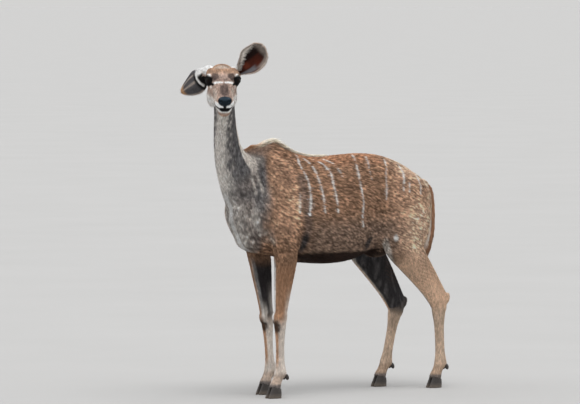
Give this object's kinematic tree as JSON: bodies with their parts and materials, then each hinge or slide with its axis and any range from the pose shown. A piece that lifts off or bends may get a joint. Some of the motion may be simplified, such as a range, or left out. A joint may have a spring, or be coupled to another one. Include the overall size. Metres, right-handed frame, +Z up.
{
  "type": "female greater kudu figure",
  "caption": "Life-size standing hornless antelope cow with a slim neck, large cupped ears, low crest, white-striped brown coat and its head turned to its left.",
  "frame": {"origin": "middle of the footprint of the whole figure, on the floor under the hooves", "axes": "+Z up, -X the way the body faces, -Y the animal's left side"},
  "size_m": [1.6617, 0.6113, 1.7377],
  "materials": {
    "coat": "short smooth hair, fawn brown with white stripes, greyer on the neck",
    "tail_hair": "longer brown hair, whitish underneath",
    "eye": "wet, dark brown",
    "hoof_horn": "dark horn, half matt"
  },
  "bodies": {
    "root": {"head": "coat", "neck": "coat", "torso": "coat", "ear_left": "coat", "ear_right": "coat", "foreleg_left": "coat", "foreleg_right": "coat", "hindleg_left": "coat", "hindleg_right": "coat", "tail": "tail_hair", "eye_left": "eye", "eye_right": "eye", "foreleg_left_claw_left": "hoof_horn", "foreleg_left_claw_right": "hoof_horn", "foreleg_left_dewclaw_left": "hoof_horn", "foreleg_left_dewclaw_right": "hoof_horn", "foreleg_right_claw_left": "hoof_horn", "foreleg_right_claw_right": "hoof_horn", "foreleg_right_dewclaw_left": "hoof_horn", "foreleg_right_dewclaw_right": "hoof_horn", "hindleg_left_claw_left": "hoof_horn", "hindleg_left_claw_right": "hoof_horn", "hindleg_left_dewclaw_left": "hoof_horn", "hindleg_left_dewclaw_right": "hoof_horn", "hindleg_right_claw_left": "hoof_horn", "hindleg_right_claw_right": "hoof_horn", "hindleg_right_dewclaw_left": "hoof_horn", "hindleg_right_dewclaw_right": "hoof_horn"}
  },
  "joints": []
}
